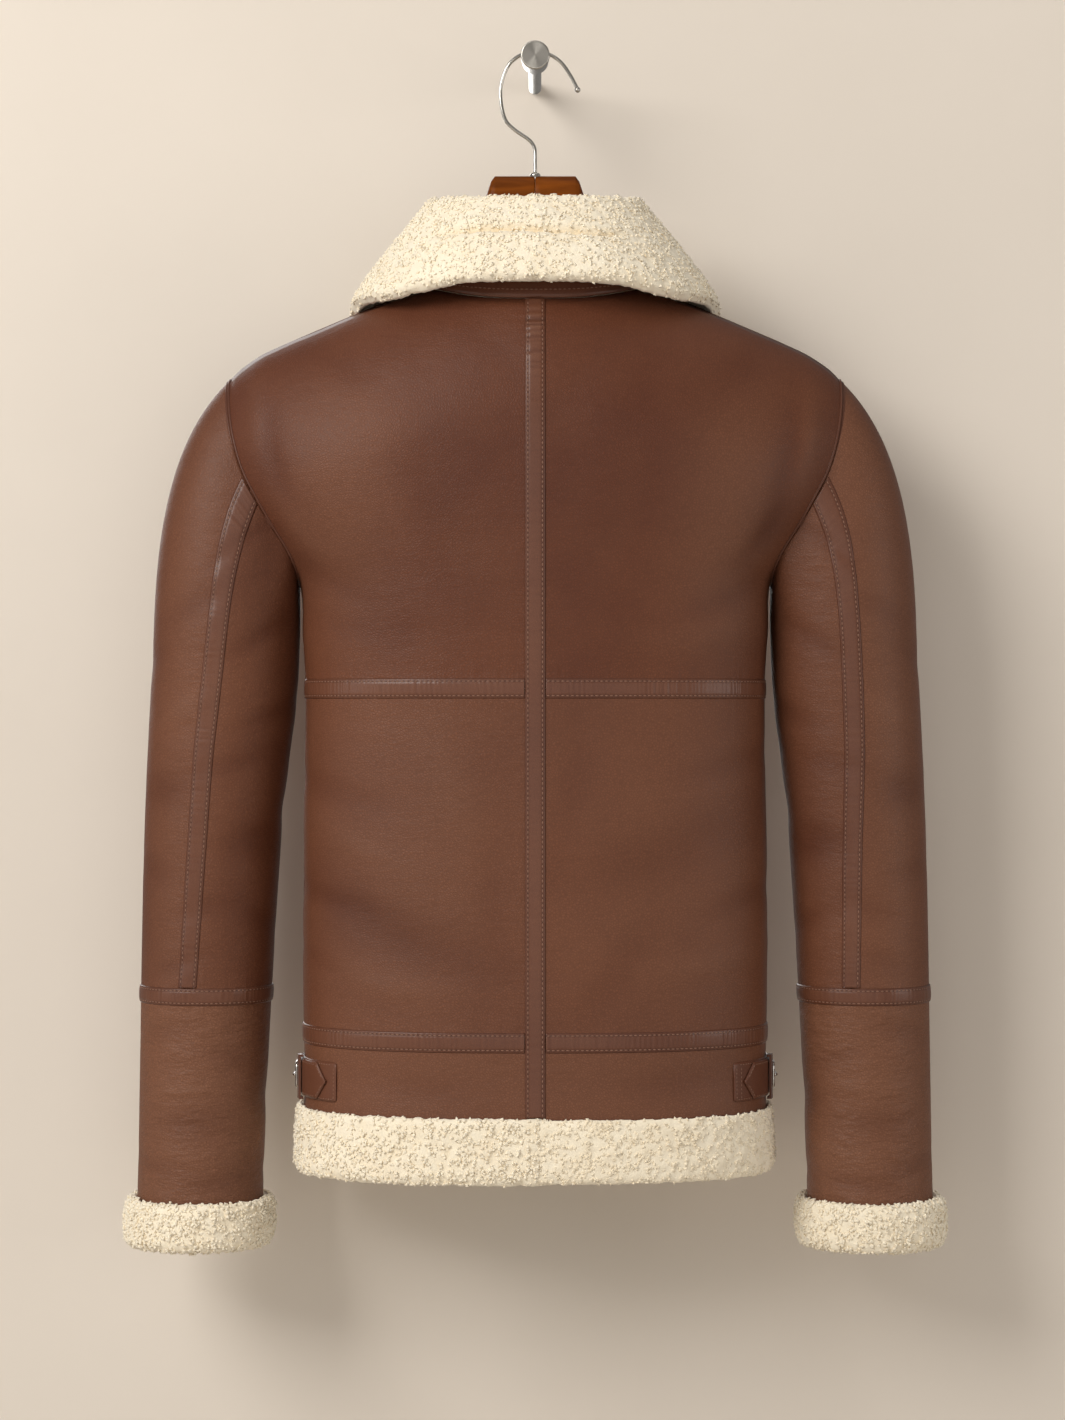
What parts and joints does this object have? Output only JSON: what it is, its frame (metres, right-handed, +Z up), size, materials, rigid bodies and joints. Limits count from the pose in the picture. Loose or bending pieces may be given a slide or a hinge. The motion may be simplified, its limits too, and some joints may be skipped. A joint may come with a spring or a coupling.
{
  "type": "shearling coat on a wooden hanger with a wall peg",
  "caption": "Filled-out shearling jacket with wool collar, cuffs and hem, on a wooden hanger whose hook hangs on a wall peg.",
  "frame": {"origin": "centre of the wall peg's flat back face, on the wall plane", "axes": "+Z up, +Y into the wall, so the jacket's back faces -Y and its front faces the wall; +X to the right as seen from behind the jacket"},
  "size_m": [0.631, 0.2161, 0.9191],
  "materials": {
    "shearling": "mid-brown leather with a satin sheen and cropped cream wool inside",
    "leather_strip": "smooth brown leather strips, slightly glossier than the panels",
    "wool": "curly cream sheepskin wool",
    "buckle_steel": "polished steel",
    "zip_metal": "dull nickel",
    "hanger_wood": "orange-brown varnish",
    "hook_steel": "polished steel wire",
    "peg_steel": "turned steel with a spun face"
  },
  "bodies": {
    "jacket": {"back_upper_left": "shearling", "back_upper_right": "shearling", "back_lower_left": "shearling", "back_lower_right": "shearling", "back_hem_left": "shearling", "back_hem_right": "shearling", "front_left": "shearling", "front_right": "shearling", "sleeve_upper_left": "shearling", "sleeve_upper_right": "shearling", "sleeve_under_left": "shearling", "sleeve_under_right": "shearling", "forearm_left": "shearling", "forearm_right": "shearling", "centre_back_strip": "leather_strip", "collar_stand": "leather_strip", "waist_strip_left": "leather_strip", "waist_strip_right": "leather_strip", "hem_strip_left": "leather_strip", "hem_strip_right": "leather_strip", "sleeve_strip_left": "leather_strip", "sleeve_strip_right": "leather_strip", "forearm_strip_left": "leather_strip", "forearm_strip_right": "leather_strip", "adjuster_patch_left": "leather_strip", "adjuster_patch_right": "leather_strip", "adjuster_strap_left": "leather_strip", "adjuster_strap_right": "leather_strip", "adjuster_keeper_left": "leather_strip", "adjuster_keeper_right": "leather_strip", "hem_fur": "wool", "collar_fur": "wool", "cuff_fur_left": "wool", "cuff_fur_right": "wool", "buckle_frame_left": "buckle_steel", "buckle_frame_right": "buckle_steel", "buckle_prong_left": "buckle_steel", "buckle_prong_right": "buckle_steel", "zip_chain": "zip_metal", "zip_slider": "zip_metal", "hanger_arm_left": "hanger_wood", "hanger_arm_right": "hanger_wood", "hanger_hook": "hook_steel", "hanger_ferrule": "hook_steel", "wall_peg": "peg_steel"},
    "pull_tab": {"zip_pull": "zip_metal"}
  },
  "joints": [
    {"name": "pull_tab_swing", "type": "hinge", "parent": "jacket", "child": "pull_tab", "pos_m": [0, -0.01492, -0.273], "axis": [1, 0, 0], "range_deg": [0, 110]}
  ]
}
